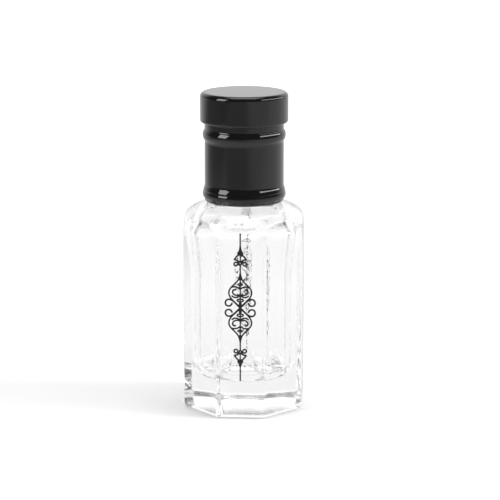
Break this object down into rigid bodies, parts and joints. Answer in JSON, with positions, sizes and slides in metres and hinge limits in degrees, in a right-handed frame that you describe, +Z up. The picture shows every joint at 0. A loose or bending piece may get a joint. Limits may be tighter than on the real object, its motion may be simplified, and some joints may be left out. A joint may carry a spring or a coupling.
{
  "type": "roll-on bottle",
  "caption": "Octagonal clear glass roll-on bottle with a heavy base, a round shoulder, a ball fitment and a tall glossy black screw cap with two beads.",
  "frame": {"origin": "centre of the base, on the plane that the bottle stands on", "axes": "+Z up along the bottle's axis, -Y out of the front facet, +X to the viewer's right"},
  "size_m": [0.024, 0.024, 0.0641],
  "materials": {
    "clear_glass": "polished clear soda-lime glass",
    "natural_plastic": "translucent natural polyethylene",
    "polished_steel": "polished stainless steel",
    "black_lacquer": "high gloss black",
    "black_plastic": "moulded satin",
    "white_foam": "soft closed-cell foam",
    "black_ink": "fired screen-print ink"
  },
  "bodies": {
    "bottle": {"glass_bottle": "clear_glass", "roller_housing": "natural_plastic"},
    "ball": {"roller_ball": "polished_steel"},
    "cap_core": {"ball_pad": "white_foam"},
    "cap": {"cap_shell": "black_lacquer", "cap_lining": "black_plastic"}
  },
  "joints": [
    {"name": "ball_roll", "type": "hinge", "parent": "bottle", "child": "ball", "pos_m": [0, 0, 0.0563], "axis": [1, 0, 0], "continuous": true},
    {"name": "cap_lift", "type": "slide", "parent": "bottle", "child": "cap_core", "axis": [0, 0, 1], "range_m": [0, 0.0201]},
    {"name": "cap_turn", "type": "hinge", "parent": "cap_core", "child": "cap", "pos_m": [0, 0, 0.0423], "axis": [0, 0, 1], "range_deg": [0, 2880]}
  ],
  "couplings": [
    {"joint": "cap_lift", "follows": "cap_turn", "m_per_rad": 0.00039789}
  ]
}
